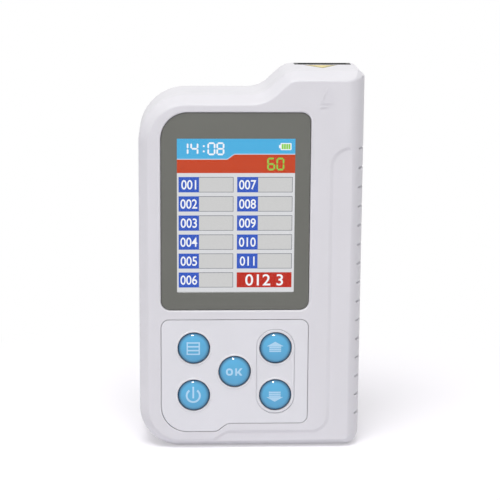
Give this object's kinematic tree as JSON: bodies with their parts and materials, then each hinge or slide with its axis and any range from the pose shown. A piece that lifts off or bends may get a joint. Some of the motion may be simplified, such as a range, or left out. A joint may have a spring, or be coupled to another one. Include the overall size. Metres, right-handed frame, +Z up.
{
  "type": "handheld urine analyzer",
  "caption": "Pocket urine test reader: moulded two-part case with a display, domed keys, side grip grooves and a strip tray that slides out of the top.",
  "frame": {"origin": "centre of the bottom face, on the surface the case stands on", "axes": "+X to the right seen from the keypad side, +Y from the display to the back, +Z up"},
  "size_m": [0.0734, 0.031, 0.126],
  "materials": {
    "white_abs": "fine moulded texture, satin white",
    "grey_lens": "printed grey behind clear sheet",
    "lcd_glass": "lit colour display",
    "film_polycarbonate": "matt printed film",
    "key_blue": "glossy clear dome over blue",
    "black_abs": "matt black",
    "tray_abs": "satin",
    "circuit_board": "solder mask over glass laminate",
    "zinc_steel": "zinc plated",
    "battery_foil": "laminated foil pouch",
    "amber_mark": "printed film",
    "polyimide_tail": "smooth flexible circuit film"
  },
  "bodies": {
    "housing": {"front_shell": "white_abs", "rear_shell": "white_abs", "display_lens": "grey_lens", "lcd_module": "lcd_glass", "lcd_holder": "black_abs", "display_tail": "polyimide_tail", "keypad_film": "film_polycarbonate", "menu_switch": "black_abs", "ok_switch": "black_abs", "power_switch": "black_abs", "up_switch": "black_abs", "down_switch": "black_abs", "main_board": "circuit_board", "usb_socket": "zinc_steel", "battery_cell": "battery_foil", "strip_guide": "black_abs", "sensor_block": "black_abs", "sensor_board": "circuit_board", "slot_mark": "amber_mark", "case_screw_1": "zinc_steel", "case_screw_2": "zinc_steel", "case_screw_3": "zinc_steel", "case_screw_4": "zinc_steel", "board_screw_1": "zinc_steel", "board_screw_2": "zinc_steel", "board_screw_3": "zinc_steel", "board_screw_4": "zinc_steel"},
    "menu_button": {"menu_key": "key_blue"},
    "ok_button": {"ok_key": "key_blue"},
    "power_button": {"power_key": "key_blue"},
    "up_button": {"up_key": "key_blue"},
    "down_button": {"down_key": "key_blue"},
    "tray": {"strip_tray": "tray_abs"}
  },
  "joints": [
    {"name": "menu_press", "type": "slide", "parent": "housing", "child": "menu_button", "axis": [0, 1, 0], "range_m": [0, 0.0005], "stiffness_N_per_m": 2000},
    {"name": "ok_press", "type": "slide", "parent": "housing", "child": "ok_button", "axis": [0, 1, 0], "range_m": [0, 0.0005], "stiffness_N_per_m": 2000},
    {"name": "power_press", "type": "slide", "parent": "housing", "child": "power_button", "axis": [0, 1, 0], "range_m": [0, 0.0005], "stiffness_N_per_m": 2000},
    {"name": "up_press", "type": "slide", "parent": "housing", "child": "up_button", "axis": [0, 1, 0], "range_m": [0, 0.0005], "stiffness_N_per_m": 2000},
    {"name": "down_press", "type": "slide", "parent": "housing", "child": "down_button", "axis": [0, 1, 0], "range_m": [0, 0.0005], "stiffness_N_per_m": 2000},
    {"name": "tray_slide", "type": "slide", "parent": "housing", "child": "tray", "axis": [0, 0, 1], "range_m": [0, 0.07]}
  ]
}
